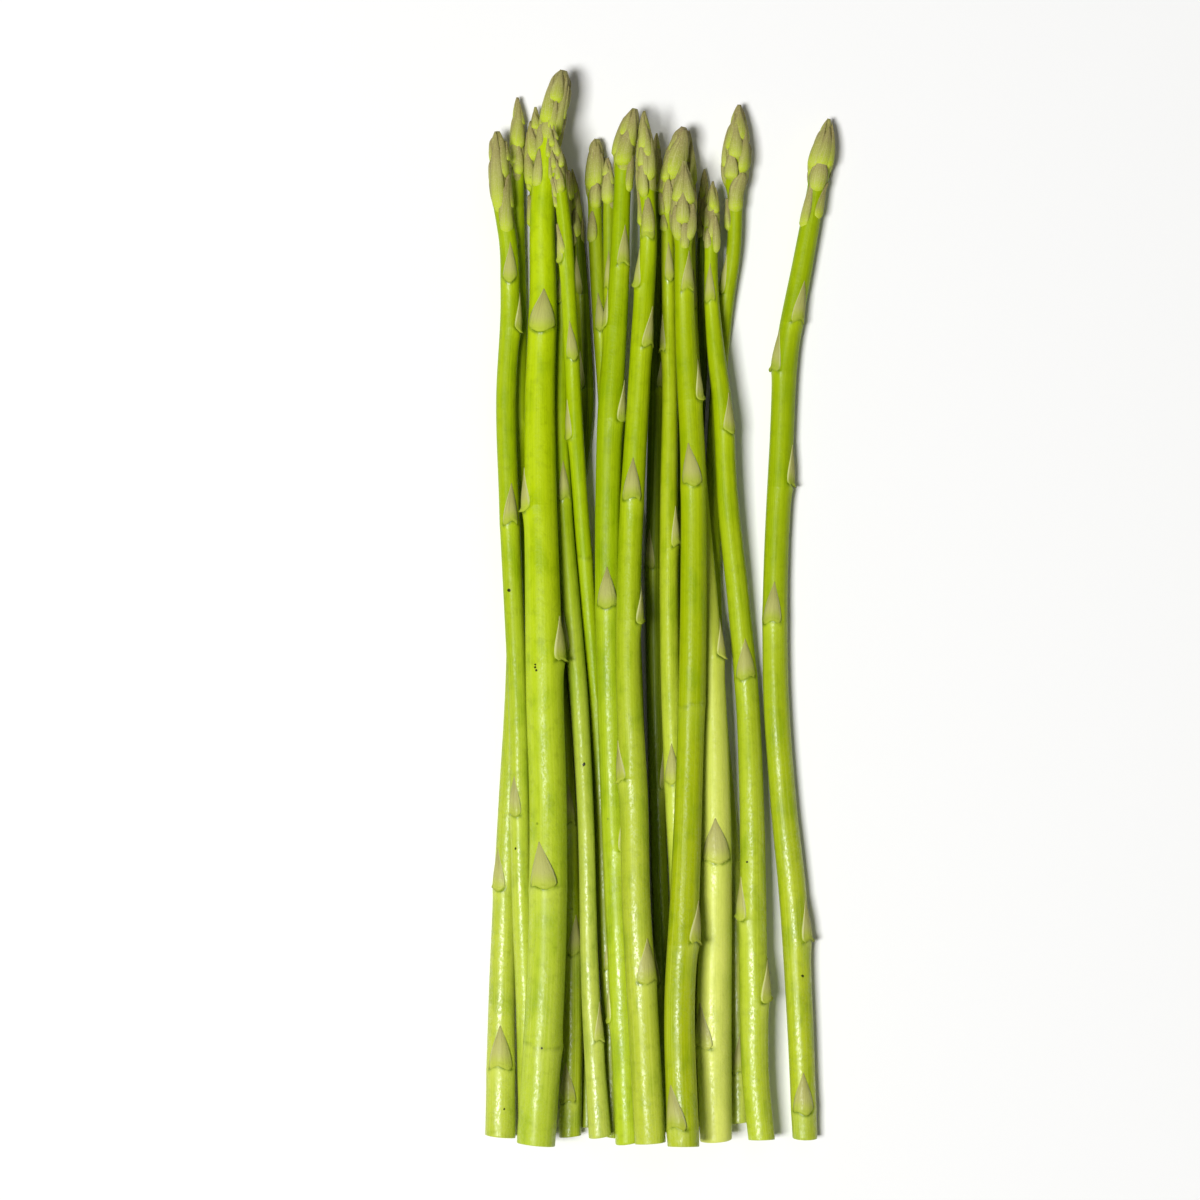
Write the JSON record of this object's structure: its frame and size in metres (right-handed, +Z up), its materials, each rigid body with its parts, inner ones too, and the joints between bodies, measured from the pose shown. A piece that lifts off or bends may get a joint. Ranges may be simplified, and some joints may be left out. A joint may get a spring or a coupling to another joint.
{
  "type": "loose bundle of green asparagus",
  "caption": "Loose bundle of raw green asparagus spears lying on their sides, tips all one way, for kitchen, table and market scenes.",
  "frame": {"origin": "centre of the bundle's bounding box, on the surface it lies on", "axes": "+Y along the spears towards their tips, +X across the bundle, +Z up"},
  "size_m": [0.0874, 0.2682, 0.0223],
  "materials": {
    "green_skin": "moist, waxy bright yellow-green plant skin",
    "pale_skin": "moist, waxy pale yellow-green plant skin, as near the cut end"
  },
  "bodies": {
    "root": {"spear_01": "green_skin", "spear_02": "green_skin", "spear_03": "green_skin", "spear_04": "green_skin", "spear_05": "green_skin", "spear_06": "green_skin", "spear_07": "green_skin", "spear_08": "green_skin", "spear_09": "green_skin", "spear_10": "green_skin", "spear_11": "green_skin", "spear_12": "green_skin", "spear_13": "green_skin", "spear_14": "green_skin", "spear_15": "green_skin", "spear_16": "green_skin", "spear_17": "pale_skin", "spear_18": "green_skin", "spear_19": "green_skin", "spear_20": "green_skin"}
  },
  "joints": []
}
